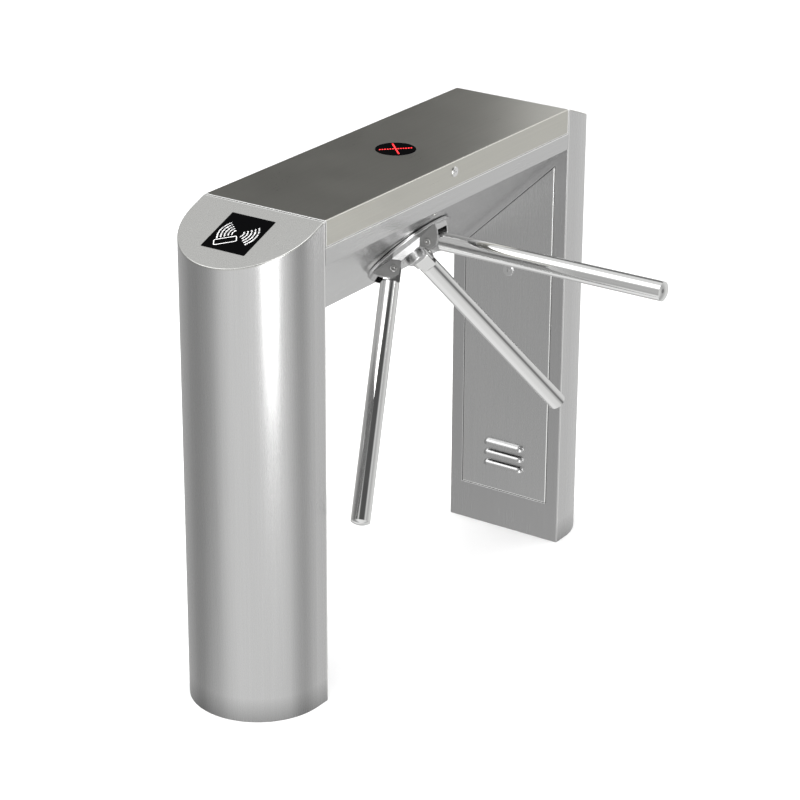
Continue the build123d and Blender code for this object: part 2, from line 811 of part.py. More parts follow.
def pivot_bolt_solid():
    """Bolt across one fork, with a round socket head at each end."""
    shank = Cylinder(pivot_bolt, 2 * cover_face)
    head = rod(pivot_head, cover_face, cover_face + pivot_head_height)
    head = fillet(head.edges().group_by(Axis.Z)[-1], pivot_head_height / 2)
    top = cover_face + pivot_head_height
    socket = Pos(0, 0, top - pivot_socket[1]) * extrude(
        RegularPolygon(pivot_socket[0], 6), amount=pivot_socket[1] + 1)
    head = head - socket
    bolt = union([shank, head, mirror(head, about=Plane.XY)])
    return Pos(pivot_radius, 0, pivot_height) * Rot(90, 0, 0) * bolt


def arm_pivot_bolts():
    bolt = pivot_bolt_solid()
    return Compound([on_rotor(Rot(0, 0, turn) * bolt) for turn in arm_turns.values()])


def on_arm(solid, name):
    """From an arm's own frame, with Z along the arm, to the cabinet's."""
    return on_rotor(Rot(0, 0, arm_turns[name]) * Rot(0, arm_cone, 0) * solid)


def arm_tube():
    return ring(arm_radius, arm_radius - arm_wall, arm_start, arm_tip - arm_cap_height)


def arm_knuckle():
    eye = Pos(0, 0, pivot_reach) * Rot(90, 0, 0) * Cylinder(knuckle_radius, knuckle_width)
    neck = block(-knuckle_radius, knuckle_radius, -knuckle_width / 2, knuckle_width / 2,
                 pivot_reach, arm_start - knuckle_shoulder)
    neck = neck & rod(arm_radius + 3.5, 0, arm_start)
    shoulder = rod(arm_radius, arm_start - knuckle_shoulder, arm_start)
    spigot = rod(arm_radius - arm_wall - spigot_clear, arm_start, arm_start + spigot_length)
    spigot = chamfer(spigot.edges().group_by(Axis.Z)[-1], 2)
    bore = Pos(0, 0, pivot_reach) * Rot(90, 0, 0) * Cylinder(pivot_bolt + pivot_running, 2 * knuckle_width)
    return union([eye, neck, shoulder, spigot]) - bore


def arm_end_cap():
    base = arm_tip - arm_cap_height
    plug = rod(arm_radius - arm_wall - spigot_clear, base - 12, base)
    side = rod(arm_radius, base, base + arm_cap_shoulder)
    crown = arm_cap_height - arm_cap_shoulder
    dome_radius = (arm_radius ** 2 + crown ** 2) / (2 * crown)
    dome = Pos(0, 0, arm_tip - dome_radius) * Sphere(dome_radius)
    dome = dome & rod(arm_radius, base + arm_cap_shoulder, arm_tip + 1)
    return union([plug, side, dome])


# ================================================================ mechanism
def housing_bolt_places():
    radius = housing_radius + bulkhead_bolt
    turns = (45, 135, 225, 315)
    return [(radius * cos(radians(a)), radius * sin(radians(a))) for a in turns]


def chassis_plate():
    back = chassis_front - chassis_thick
    plate = block(-chassis_half_u, chassis_half_u, -chassis_half_y, chassis_half_y, back, chassis_front)
    plate = fillet(plate.edges().filter_by(Axis.Z), 8)
    plate = plate - rod(housing_lip, back - 1, chassis_front + 1)
    for x, y in housing_bolt_places():
        plate = plate - Pos(x, y, 0) * rod(bulkhead_bolt / 2, back - 1, chassis_front + 1)
    return on_rotor(plate)


def chassis_posts():
    """Spacers out to the sloping face, and long posts back to the rear plate."""
    inside = beam_prism(height, sheet, lid_half)
    pieces = []
    for x in (-spacer_u, spacer_u):
        for y in (-spacer_y, spacer_y):
            pieces.append(on_rotor(Pos(x, y, 0) * rod(spacer_radius, chassis_front, 2 * disc_back)) & inside)
    back = chassis_front - chassis_thick
    for x in (-post_u, post_u):
        for y in (-post_y, post_y):
            pieces.append(on_rotor(Pos(x, y, 0) * rod(post_radius, rear_front, back)))
    return Compound(pieces)


def bearing_housing():
    back = chassis_front - chassis_thick
    body = rod(housing_flange, back - housing_flange_thick, back) + rod(housing_radius, housing_end, back)
    body = body - rod(bearing_outer, housing_end - 1, bearing_starts[0] + bearing_width)
    body = body - rod(housing_lip, housing_end, back + 1)
    for x, y in housing_bolt_places():
        body = body - Pos(x, y, 0) * rod(bulkhead_bolt / 2, 0, back + 1)
    return on_rotor(body)


def shaft_bearings():
    bearings = []
    for start in bearing_starts:
        body = ring(bearing_outer, shaft_radius + bearing_running, start, start + bearing_width)
        middle = (bearing_outer + shaft_radius) / 2
        for z in (start, start + bearing_width):
            body = body - ring(middle + 3, middle - 3, z - 1, z + 1)
        bearings.append(on_rotor(body))
    return Compound(bearings)


def rotor_shaft():
    flange_back = disc_back - shaft_flange_thick
    shaft = rod(shaft_radius, shaft_end, flange_back) + rod(shaft_flange, flange_back, disc_back)
    return on_rotor(chamfer(shaft.edges().group_by(Axis.Z)[0], 1.5))


def gear_face(teeth, shift):
    """Straight-flanked teeth on a pitch circle of teeth times the module."""
    pitch = gear_module * teeth / 2
    tip = pitch + gear_module
    root = pitch - 1.25 * gear_module
    step = 360 / teeth
    points = []
    for tooth in range(teeth):
        middle = tooth * step + shift
        for radius, share in ((root, -0.27), (tip, -0.11), (tip, 0.11), (root, 0.27)):
            angle = radians(middle + share * step)
            points.append((radius * cos(angle), radius * sin(angle)))
    return make_face(Polyline(*points, close=True))


def gear_distance():
    return gear_module * (gear_teeth + pinion_teeth) / 2 + gear_backlash


def drive_gear():
    blank = Pos(0, 0, gear_front - gear_width) * extrude(gear_face(gear_teeth, 0), amount=gear_width)
    blank = blank + rod(gear_boss, gear_front - gear_boss_length, gear_front)
    for turn in range(0, 360, 60):
        hole = Rot(0, 0, turn) * Pos(38, 0, 0) * rod(11, gear_front - gear_width - 1, gear_front + 1)
        blank = blank - hole
    return on_rotor(blank - rod(shaft_radius, gear_front - 30, gear_front + 1))


def motor_pinion():
    shift = 180 / pinion_teeth
    gear = Pos(0, 0, gear_front - gear_width) * extrude(gear_face(pinion_teeth, shift), amount=gear_width)
    gear = gear - rod(motor_shaft, gear_front - gear_width - 1, gear_front + 1)
    stub = rod(motor_shaft, gear_front - gear_width - 1, motor_nose_end() - 0.5)
    return on_rotor(Pos(0, -gear_distance(), 0) * (gear + stub))


def motor_nose_end():
    return chassis_front - chassis_thick - motor_length - motor_nose_length


def gearmotor():
    front = chassis_front - chassis_thick
    body = rod(motor_radius, front - motor_length, front)
    body = chamfer(body.edges().group_by(Axis.Z)[0], 2)
    nose = rod(motor_nose, motor_nose_end(), front - motor_length)
    groove = ring(motor_radius + 1, motor_radius - 1.2, front - 26, front - 23)
    return on_rotor(Pos(0, -gear_distance(), 0) * (body + nose - groove))


def rear_plate():
    back = rear_front - rear_thick
    plate = block(-rear_half_u, rear_half_u, -rear_half_y, rear_half_y, back, rear_front)
    plate = fillet(plate.edges().filter_by(Axis.Z), 8)
    return on_rotor(plate - rod(brake_bore, back - 1, rear_front + 1))


def brake_stator():
    body = ring(brake_radius, brake_bore, rear_front, rear_front + brake_depth)
    coil = ring(brake_radius - 6, brake_bore + 6, rear_front + brake_depth - 2, rear_front + brake_depth + 1)
    return on_rotor(body - coil)


def armature_back():
    return rear_front + brake_depth + armature_gap


def brake_armature():
    start = armature_back()
    return on_rotor(ring(armature_radius, brake_hub_radius + armature_running, start, start + armature_thick))


def brake_hub():
    start = armature_back()
    flange = start + armature_thick + brake_hub_gap
    body = rod(brake_hub_radius, start, flange) + rod(brake_hub_flange, flange, flange + brake_hub_flange_thick)
    return on_rotor(body - rod(shaft_radius, start - 1, flange + 20))


def encoder_disc():
    disc = ring(encoder_radius, shaft_radius, encoder_front, encoder_front + encoder_thick)
    for step in range(encoder_slots):
        window = block(encoder_radius - 8, encoder_radius - 3, -1, 1, encoder_front - 1, encoder_front + 3)
        disc = disc - Rot(0, 0, step * 360 / encoder_slots) * window
    return on_rotor(disc)


def encoder_sensor():
    depth, across = sensor_size
    near_edge = encoder_radius - 9
    back = rear_front - rear_thick
    body = block(near_edge, near_edge + depth, -across / 2, across / 2, back - 12, back)
    slit = block(near_edge - 1, encoder_radius + 1.5, -across, across, encoder_front - 1.2,
                 encoder_front + encoder_thick + 1.2)
    return on_rotor(body - slit)


# ================================================================ electronics
def back_inside():
    """Inner face of the beam's back."""
    return -half_width + sheet


def control_board():
    up, along, thick = board_size
    y = board_centre[0]
    z = height - board_centre[1]
    x = back_inside() + board_standoff
    board = block(x, x + thick, y - along / 2, y + along / 2, z - up / 2, z + up / 2)
    return board


def board_components():
    """Stand-offs, plugs, relays, capacitors and the heat sink."""
    up, along, thick = board_size
    y = board_centre[0]
    z = height - board_centre[1]
    x = back_inside()
    front = x + board_standoff + thick
    pieces = []
    for dy in (-along / 2 + 6, along / 2 - 6):
        for dz in (-up / 2 + 6, up / 2 - 6):
            pieces.append(Pos(x, y + dy, z + dz) * Rot(0, 90, 0) * rod(3.5, 0, board_standoff))
    for step in range(5):
        y0 = y - along / 2 + 18 + step * 28
        pieces.append(block(front, front + 12, y0, y0 + 22, z - up / 2 + 3, z - up / 2 + 13))
    for step in range(4):
        y0 = y - along / 2 + 24 + step * 22
        pieces.append(block(front, front + 15, y0, y0 + 16, z + 16, z + 34))
    for step in range(3):
        place = Pos(front, y + along / 2 - 24, z - 20 + step * 18)
        pieces.append(place * Rot(0, 90, 0) * rod(6, 0, 20))
    pieces.append(block(front, front + 3, y - 40, y - 18, z - 18, z + 4))
    return Compound(pieces)


def power_supply():
    deep, along, up = supply_size
    y = supply_centre[0]
    z = height - supply_centre[1]
    x = back_inside()
    case = block(x, x + deep, y - along / 2, y + along / 2, z - up / 2, z + up / 2)
    case = chamfer(case.edges().group_by(Axis.X)[-1], 1.5)
    for step in range(7):
        y0 = y - along / 2 + 26 + step * 18
        case = case - block(x + deep - 2, x + deep + 1, y0, y0 + 6, z - up / 2 + 14, z + up / 2 - 14)
    foot = block(x, x + supply_foot, y - along / 2 - 12, y + along / 2 + 12, z - up / 4, z + up / 4)
    return case + foot


# ================================================================ all the pieces
def build():
    parts = {
        "near_leg_shell": for_side(leg_shell(), near),
        "far_leg_shell": leg_shell(),
        "near_leg_cap": near_leg_cap(),
        "far_leg_cap": leg_cap(),
        "near_inner_panel": for_side(inner_panel(), near),
        "far_inner_panel": inner_panel(),
        "near_base_plate": for_side(leg_base(), near),
        "far_base_plate": leg_base(),
        "door_keepers": Compound([for_side(door_keeper(), side) for side in (near, far)]),
        "near_door": for_side(door(), near),
        "far_door": door(),
        "near_door_lock": on_door(lock_body(), near),
        "far_door_lock": on_door(lock_body(), far),
        "near_door_lock_cam": on_door(lock_cam(), near),
        "far_door_lock_cam": on_door(lock_cam(), far),
        "beam_shell": beam_shell(),
        "beam_bulkheads": Compound([for_side(bulkhead(), side) for side in (near, far)]),
        "cabinet_bolts": cabinet_bolts(),
        "lid": lid(),
        "lid_lock": on_lid_front(lock_body()),
        "lid_lock_cam": on_lid_front(lock_cam()),
        "indicator_face": indicator_face(),
        "indicator_leds": indicator_leds(),
        "indicator_housing": indicator_housing(),
        "hinge_base_leaves": hinge_group(0),
        "hinge_lid_leaves": hinge_group(1),
        "hinge_pins": hinge_group(2),
        "reader_window": reader_window(),
        "reader_module": reader_module(),
        "rotor_collar": rotor_collar(),
        "tripod_hub": tripod_hub(),
        "hub_cap": hub_cap(),
        "fork_cover_plates": fork_cover_plates(),
        "arm_pivot_bolts": arm_pivot_bolts(),
        "chassis_plate": chassis_plate(),
        "chassis_posts": chassis_posts(),
        "bearing_housing": bearing_housing(),
        "shaft_bearings": shaft_bearings(),
        "rotor_shaft": rotor_shaft(),
        "drive_gear": drive_gear(),
        "motor_pinion": motor_pinion(),
        "gearmotor": gearmotor(),
        "rear_plate": rear_plate(),
        "brake_stator": brake_stator(),
        "brake_armature": brake_armature(),
        "brake_hub": brake_hub(),
        "encoder_disc": encoder_disc(),
        "encoder_sensor": encoder_sensor(),
        "control_board": control_board(),
        "board_components": board_components(),
        "power_supply": power_supply(),
    }
    for name in arm_turns:
        parts[name + "_arm_tube"] = on_arm(arm_tube(), name)
        parts[name + "_arm_knuckle"] = on_arm(arm_knuckle(), name)
        parts[name + "_arm_end_cap"] = on_arm(arm_end_cap(), name)
    return parts


os.makedirs("parts", exist_ok=True)
for node, solid in build().items():
    export_step(solid, "parts/" + node + ".step")
    print(node)
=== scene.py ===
"""Looks for the visitor turnstile: steel cabinet, tilted three-armed rotor, reader and entry sign.

Metres, in the frame's own axes: +Z up, +Y along the cabinet, +X towards the passage.
"""

import math

import bpy
from mathutils import Matrix, Vector


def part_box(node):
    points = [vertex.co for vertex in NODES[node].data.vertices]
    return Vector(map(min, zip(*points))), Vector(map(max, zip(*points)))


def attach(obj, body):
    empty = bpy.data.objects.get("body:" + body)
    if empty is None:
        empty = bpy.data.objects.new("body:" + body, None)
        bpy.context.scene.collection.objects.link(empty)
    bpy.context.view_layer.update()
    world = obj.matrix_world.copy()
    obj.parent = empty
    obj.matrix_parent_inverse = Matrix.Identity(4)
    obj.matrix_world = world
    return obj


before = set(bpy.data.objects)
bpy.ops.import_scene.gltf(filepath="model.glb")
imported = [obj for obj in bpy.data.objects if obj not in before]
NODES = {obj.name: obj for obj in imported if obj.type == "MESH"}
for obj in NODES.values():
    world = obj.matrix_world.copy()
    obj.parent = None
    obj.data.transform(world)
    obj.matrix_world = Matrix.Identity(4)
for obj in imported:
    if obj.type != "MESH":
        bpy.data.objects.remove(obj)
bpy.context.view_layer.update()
MM = 0.001
X_AXIS, Y_AXIS, Z_AXIS = 0, 1, 2

# Colour of the painted highlights laid in thin strips along edges.
PAINTED_EDGE_HIGHLIGHT = (0.96, 0.96, 0.95)
# Colour of the painted shade where the legs meet the floor.
PAINTED_FLOOR_SHADE = (0.2, 0.2, 0.2)
FLOOR_SHADE_REACH = 0.05           # height of the painted shade band above the floor
GRAIN_STRETCH = 0.012        # grinding strokes, width over length
STROKE_DEPTH = 0.00002


# ---------------------------------------------------------------- material workshop

class Finish:
    """One procedural material, built node by node around a Principled BSDF."""

    def __init__(self, name, color, metallic=0.0, roughness=0.5):
        self.mat = bpy.data.materials.new(name)
        self.mat.use_nodes = True
        self.nodes = self.mat.node_tree.nodes
        self.links = self.mat.node_tree.links
        self.shader = self.nodes["Principled BSDF"]
        self.color = color
        self.set("Base Color", (*color, 1.0))
        self.set("Metallic", metallic)
        self.set("Roughness", roughness)
        self.place = self.nodes.new("ShaderNodeTexCoord").outputs["Object"]
        self.bump = None

    def set(self, socket, value):
        self.shader.inputs[socket].default_value = value

    def link(self, source, target):
        self.links.new(source, target)

    def mapped(self, scale):
        """Object coordinates, stretched."""
        mapping = self.nodes.new("ShaderNodeMapping")
        mapping.inputs["Scale"].default_value = scale
        self.link(self.place, mapping.inputs["Vector"])
        return mapping.outputs["Vector"]

    def noise(self, scale, detail=2.0, rough=0.5, stretch=(1, 1, 1)):
        texture = self.nodes.new("ShaderNodeTexNoise")
        texture.inputs["Scale"].default_value = scale
        texture.inputs["Detail"].default_value = detail
        texture.inputs["Roughness"].default_value = rough
        self.link(self.mapped(stretch), texture.inputs["Vector"])
        return texture.outputs["Fac"]

    def spread(self, source, low, high, to_low, to_high):
        """source from low..high to to_low..to_high, clamped."""
        node = self.nodes.new("ShaderNodeMapRange")
        limits = {"From Min": low, "From Max": high, "To Min": to_low, "To Max": to_high}
        for socket, value in limits.items():
            node.inputs[socket].default_value = value
        self.link(source, node.inputs["Value"])
        return node.outputs["Result"]

    def along(self, axis):
        """Distance along one of the part's axes."""
        apart = self.nodes.new("ShaderNodeSeparateXYZ")
        self.link(self.place, apart.inputs[0])
        return apart.outputs[axis]

    def strip(self, axis, place, half):
        """1 within half of place along one axis, on both sides of the middle."""
        away = self.nodes.new("ShaderNodeMath")
        away.operation = "ABSOLUTE"
        self.link(self.along(axis), away.inputs[0])
        near = self.nodes.new("ShaderNodeMath")
        near.operation = "COMPARE"
        near.inputs[1].default_value = place
        near.inputs[2].default_value = half
        self.link(away.outputs[0], near.inputs[0])
        return near.outputs[0]

    def foot(self, reach, amount):
        """amount at the floor, fading to 0 at reach above it."""
        return self.spread(self.along(Z_AXIS), 0.0, reach, amount, 0.0)

    def times(self, first, second):
        node = self.nodes.new("ShaderNodeMath")
        node.operation = "MULTIPLY"
        self.link(first, node.inputs[0])
        self.link(second, node.inputs[1])
        return node.outputs[0]

    def tint(self, amount, dark, light):
        """Base colour from dark to light copies of the finish's own colour."""
        mix = self.nodes.new("ShaderNodeMix")
        mix.data_type = "RGBA"
        mix.inputs["A"].default_value = (*[c * dark for c in self.color], 1.0)
        mix.inputs["B"].default_value = (*[min(1.0, c * light) for c in self.color], 1.0)
        self.link(amount, mix.inputs["Factor"])
        self.link(mix.outputs["Result"], self.shader.inputs["Base Color"])

    def cover(self, amount, color):
        """Another base colour where amount is 1."""
        mix = self.nodes.new("ShaderNodeMix")
        mix.data_type = "RGBA"
        self.link(amount, mix.inputs["Factor"])
        self.link(self.shader.inputs["Base Color"].links[0].from_socket, mix.inputs["A"])
        mix.inputs["B"].default_value = (*color, 1.0)
        self.link(mix.outputs["Result"], self.shader.inputs["Base Color"])

    def rough(self, amount):
        self.link(amount, self.shader.inputs["Roughness"])

    def raise_by(self, height, distance, strength=1.0):
        """Adds one layer of surface relief."""
        node = self.nodes.new("ShaderNodeBump")
        node.inputs["Distance"].default_value = distance
        node.inputs["Strength"].default_value = strength
        self.link(height, node.inputs["Height"])
        if self.bump:
            self.link(self.bump, node.inputs["Normal"])
        self.bump = node.outputs["Normal"]
        self.link(self.bump, self.shader.inputs["Normal"])


def brushed(name, color, grain, roughness=0.3, highlight_strips=(), floor_shade=0.0):
    """Stainless sheet ground in one direction: grain is the axis that the strokes run along.

    Each strip is an axis, a place along it and a half width where a painted highlight is laid along an
    edge.
    The last argument sets how strongly painted shade darkens the sheet where it meets the floor.
    """
    steel = Finish(name, color, metallic=1.0, roughness=roughness)
    stretch = [1.0 if axis != grain else GRAIN_STRETCH for axis in range(3)]
    strokes = steel.noise(1400, detail=3, rough=0.6, stretch=stretch)
    long_strokes = steel.noise(260, detail=2, stretch=stretch)
    clouds = steel.noise(7, detail=3)
    steel.tint(steel.spread(long_strokes, 0.3, 0.7, 0.0, 1.0), 0.98, 1.015)
    # Painted highlights: bright base colour in thin strips along edges.
    for strip in highlight_strips:
        steel.cover(steel.strip(*strip), PAINTED_EDGE_HIGHLIGHT)
    # Painted shade: darker base colour towards the floor.
    if floor_shade:
        steel.cover(steel.foot(FLOOR_SHADE_REACH, floor_shade), PAINTED_FLOOR_SHADE)
    worn = steel.spread(clouds, 0.35, 0.7, roughness * 0.97, roughness * 1.04)
    lines = steel.spread(strokes, 0.3, 0.7, 0.9, 1.1)
    steel.rough(steel.times(worn, lines))
    steel.raise_by(strokes, STROKE_DEPTH, 0.06)
    return steel.mat


def polished(name, color, roughness=0.07):
    """Mirror-polished stainless with faint handling marks."""
    steel = Finish(name, color, metallic=1.0, roughness=roughness)
    smears = steel.noise(16, detail=4, rough=0.6)
    buffing = steel.noise(900, detail=2, stretch=(1, 1, 0.15))
    marks = steel.spread(smears, 0.45, 0.75, roughness * 0.8, roughness * 2.0)
    steel.rough(marks)
    steel.raise_by(buffing, 0.000002, 0.03)
    return steel.mat


def painted(name, color, roughness=0.45, orange_peel=0.00003):
    """Stoved paint with a slight orange peel and a little dust."""
    paint = Finish(name, color, roughness=roughness)
    paint.set("Coat Weight", 0.25)
    paint.set("Coat Roughness", 0.3)
    paint.tint(paint.spread(paint.noise(30, detail=4), 0.35, 0.7, 0, 1), 0.88, 1.12)
    paint.rough(paint.spread(paint.noise(60), 0.3, 0.7, roughness * 0.85, roughness * 1.2))
    paint.raise_by(paint.noise(700, detail=1), orange_peel, 0.4)
    return paint.mat


def moulded(name, color, roughness=0.5, grain=0.00004):
    """Moulded plastic with a fine spark-eroded texture."""
    plastic = Finish(name, color, roughness=roughness)
    plastic.tint(plastic.spread(plastic.noise(45, detail=3), 0.3, 0.7, 0, 1), 0.85, 1.2)
    plastic.rough(plastic.spread(plastic.noise(120), 0.3, 0.7, roughness * 0.9, roughness * 1.15))
    plastic.raise_by(plastic.noise(1500, detail=1), grain, 0.4)
    return plastic.mat


def black_glass(name):
    """Gloss black window with faint wipe marks."""
    glass = Finish(name, (0.001, 0.001, 0.0012), roughness=0.08)
    glass.set("Specular IOR Level", 0.01)
    glass.rough(glass.spread(glass.noise(40, detail=4, stretch=(1, 0.3, 1)), 0.45, 0.75, 0.06, 0.22))
    return glass.mat


def lamp(name, color, strength):
    """A lit lamp under a slightly frosted dome."""
    light = Finish(name, color, roughness=0.35)
    light.set("Emission Color", (*color, 1.0))
    light.set("Emission Strength", strength)
    light.rough(light.spread(light.noise(600), 0.3, 0.7, 0.25, 0.45))
    return light.mat


def circuit_board(name):
    """Solder mask over copper tracks."""
    board = Finish(name, (0.02, 0.17, 0.07), roughness=0.35)
    tracks = board.nodes.new("ShaderNodeTexBrick")
    tracks.inputs["Scale"].default_value = 160
    tracks.inputs["Mortar Size"].default_value = 0.06
    tracks.inputs["Color1"].default_value = (0.9, 0.9, 0.9, 1)
    tracks.inputs["Color2"].default_value = (1, 1, 1, 1)
    tracks.inputs["Mortar"].default_value = (0.2, 0.2, 0.2, 1)
    board.link(board.mapped((1, 1, 1)), tracks.inputs["Vector"])
    board.tint(tracks.outputs["Fac"], 0.8, 2.0)
    board.raise_by(tracks.outputs["Fac"], 0.00005, 0.5)
    return board.mat


# Painted highlights along edges: axis, place along it from the middle or the floor, half width.
LID_END = 0.4265
SEAM = 0.929
LEG_FOLD = (Y_AXIS, LID_END + 0.0015, 0.0025)
CAP_END = (Y_AXIS, LID_END + 0.0015, 0.003)
LID_ENDS = (Y_AXIS, LID_END - 0.0012, 0.0024)
LID_HEM = (Z_AXIS, SEAM + 0.0006, 0.0011)
BEAM_HEM = (Z_AXIS, SEAM - 0.0018, 0.0011)
DOOR_SIDES = (X_AXIS, 0.1058, 0.0011)
DOOR_FOOT = (Z_AXIS, 0.0873, 0.0011)

FINISHES = {
    # The legs wear painted highlights along their folds and painted shade where they meet the floor.
    "leg_steel": brushed("leg_steel", (0.605, 0.605, 0.605), Z_AXIS, 0.27, [LEG_FOLD], floor_shade=0.6),
    "door_steel": brushed("door_steel", (0.59, 0.59, 0.59), Z_AXIS, 0.27, [DOOR_SIDES, DOOR_FOOT]),
    "panel_steel": brushed("panel_steel", (0.54, 0.54, 0.54), Z_AXIS, 0.25),
    "beam_steel": brushed("beam_steel", (0.61, 0.61, 0.61), Y_AXIS, 0.25, [BEAM_HEM]),
    "cap_steel": brushed("cap_steel", (0.56, 0.56, 0.545), Y_AXIS, 0.27, [CAP_END]),
    "lid_steel": brushed("lid_steel", (0.60, 0.592, 0.545), Y_AXIS, 0.31, [LID_ENDS, LID_HEM]),
    "plate_steel": brushed("plate_steel", (0.42, 0.42, 0.42), Y_AXIS, 0.42),
    "fastener_steel": brushed("fastener_steel", (0.55, 0.55, 0.53), Z_AXIS, 0.35),
    "polished_steel": polished("polished_steel", (0.78, 0.78, 0.775)),
    "hub_metal": polished("hub_metal", (0.62, 0.62, 0.62), 0.2),
    "collar_metal": polished("collar_metal", (0.62, 0.62, 0.61), 0.22),
    "bolt_steel": brushed("bolt_steel", (0.55, 0.55, 0.54), X_AXIS, 0.28),
    "cover_grey": painted("cover_grey", (0.19, 0.19, 0.187), 0.42),
    "lock_chrome": polished("lock_chrome", (0.75, 0.75, 0.75), 0.1),
    "black_window": black_glass("black_window"),
    "red_lamps": lamp("red_lamps", (0.9, 0.018, 0.024), 1.0),
    "black_plastic": moulded("black_plastic", (0.03, 0.03, 0.032)),
    "machined_steel": brushed("machined_steel", (0.56, 0.56, 0.56), Z_AXIS, 0.25),
    "drive_enamel": painted("drive_enamel", (0.03, 0.03, 0.034), 0.4),
    "board_mask": circuit_board("board_mask"),
    "white_print": moulded("white_print", (0.80, 0.80, 0.80), 0.4, 0.000005),
    "supply_case": brushed("supply_case", (0.62, 0.62, 0.62), Y_AXIS, 0.4),
}
# Which nodes wear each finish.
WORN_BY = {
    "leg_steel": "near_leg_shell far_leg_shell",
    "door_steel": "near_door far_door",
    "panel_steel": "near_inner_panel far_inner_panel",
    "beam_steel": "beam_shell",
    "cap_steel": "near_leg_cap far_leg_cap",
    "lid_steel": "lid",
    "plate_steel": "near_base_plate far_base_plate door_keepers beam_bulkheads chassis_plate"
                   " chassis_posts rear_plate bearing_housing",
    "fastener_steel": "cabinet_bolts hinge_base_leaves hinge_lid_leaves hinge_pins",
    "polished_steel": "top_arm_tube near_arm_tube far_arm_tube top_arm_end_cap near_arm_end_cap"
                      " far_arm_end_cap top_arm_knuckle near_arm_knuckle far_arm_knuckle",
    "hub_metal": "tripod_hub hub_cap",
    "collar_metal": "rotor_collar",
    "bolt_steel": "arm_pivot_bolts",
    "cover_grey": "fork_cover_plates",
    "lock_chrome": "near_door_lock far_door_lock lid_lock near_door_lock_cam far_door_lock_cam"
                   " lid_lock_cam",
    "black_window": "reader_window indicator_face",
    "red_lamps": "indicator_leds",
    "black_plastic": "reader_module indicator_housing encoder_sensor board_components",
    "machined_steel": "rotor_shaft shaft_bearings drive_gear motor_pinion brake_armature brake_hub"
                      " encoder_disc",
    "drive_enamel": "gearmotor brake_stator",
    "board_mask": "control_board",
    "supply_case": "power_supply",
}


def dress(node, material):
    """Gives a node one finish all over."""
    mesh = NODES[node].data
    mesh.materials.clear()
    mesh.materials.append(material)


for finish_name, wearers in WORN_BY.items():
    for node_name in wearers.split():
        dress(node_name, FINISHES[finish_name])


# ---------------------------------------------------------------- print on the reader window

END_SLOPE = math.radians(20.5)
WINDOW_MIDDLE = (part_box("reader_window")[0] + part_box("reader_window")[1]) / 2
WINDOW_HALF_PLATE = 2.0 * MM
PRINT_PROUD = 0.12 * MM
WAVE_RADII = (11.5, 18.5, 25.5, 32.5, 39.5)     # this and the next five in millimetres
STROKE = 2.9
CARD_SIZE = (17, 44)
CARD_CORNER = 4
CARD_STROKE = 1.6
CARD_PLACE = (-12, -25)
CARD_TURN = -57              # degrees
WAVE_BEARINGS = (180, 2)     # middle of each fan, degrees
WAVE_SPREAD = 80


def start_piece():
    """Leaves edit mode with nothing selected."""
    if bpy.context.object and bpy.context.object.mode != "OBJECT":
        bpy.ops.object.mode_set(mode="OBJECT")
    bpy.ops.object.select_all(action="DESELECT")


def wave(radius, bearing):
    """One arc of a radio wave, flat, centred on a bearing."""
    start_piece()
    bpy.ops.mesh.primitive_circle_add(vertices=96, radius=(radius - STROKE / 2) * MM)
    arc = bpy.context.object
    bpy.ops.object.mode_set(mode="EDIT")
    bpy.ops.mesh.select_all(action="DESELECT")
    bpy.ops.object.mode_set(mode="OBJECT")
    for vertex in arc.data.vertices:
        angle = math.degrees(math.atan2(vertex.co.y, vertex.co.x))
        vertex.select = abs((angle - bearing + 180) % 360 - 180) > WAVE_SPREAD / 2
    bpy.ops.object.mode_set(mode="EDIT")
    bpy.ops.mesh.delete(type="VERT")
    bpy.ops.mesh.select_all(action="SELECT")
    bpy.ops.mesh.extrude_edges_move()
    grown = (radius + STROKE / 2) / (radius - STROKE / 2)
    bpy.ops.transform.resize(value=(grown, grown, 1), center_override=(0, 0, 0))
    bpy.ops.object.mode_set(mode="OBJECT")
    arc.data.materials.append(FINISHES["white_print"])
    return arc


def card_outline():
    """A pass card drawn as a rounded outline."""
    start_piece()
    bpy.ops.mesh.primitive_plane_add(size=1)
    card = bpy.context.object
    card.scale = (CARD_SIZE[0] * MM, CARD_SIZE[1] * MM, 1)
    bpy.ops.object.transform_apply(scale=True)
    bpy.ops.object.mode_set(mode="EDIT")
    bpy.ops.mesh.select_all(action="SELECT")
    bpy.ops.mesh.bevel(offset=CARD_CORNER * MM, segments=6, affect="VERTICES")
    bpy.ops.object.mode_set(mode="OBJECT")
    card.data.materials.append(FINISHES["white_print"])
    card.data.materials.append(FINISHES["black_window"])
    bpy.ops.object.mode_set(mode="EDIT")
    bpy.ops.mesh.inset(thickness=CARD_STROKE * MM)
    card.active_material_index = 1
    bpy.ops.object.material_slot_assign()
    bpy.ops.object.mode_set(mode="OBJECT")
    card.location = (CARD_PLACE[0] * MM, CARD_PLACE[1] * MM, PRINT_PROUD)
    card.rotation_euler = (0, 0, math.radians(CARD_TURN))
    bpy.ops.object.transform_apply(location=True, rotation=True)
    return card


def reader_print():
    """A card held up to two fans of radio waves."""
    strokes = [wave(radius, bearing) for bearing in WAVE_BEARINGS for radius in WAVE_RADII]
    strokes.append(card_outline())
    start_piece()
    for stroke in strokes:
        stroke.select_set(True)
    bpy.context.view_layer.objects.active = strokes[0]
    bpy.ops.object.join()
    icon = bpy.context.object
    icon.name = "reader_symbol"
    bpy.ops.object.modifier_add(type="SOLIDIFY")
    icon.modifiers["Solidify"].thickness = PRINT_PROUD
    icon.modifiers["Solidify"].offset = 1
    bpy.ops.object.modifier_apply(modifier="Solidify")
    normal = Vector((0, -math.sin(END_SLOPE), math.cos(END_SLOPE)))
    icon.location = WINDOW_MIDDLE + normal * WINDOW_HALF_PLATE
    icon.rotation_euler = (END_SLOPE, 0, 0)
    bpy.ops.object.transform_apply(location=True, rotation=True)
    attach(icon, "cabinet")


reader_print()


# ---------------------------------------------------------------- studio

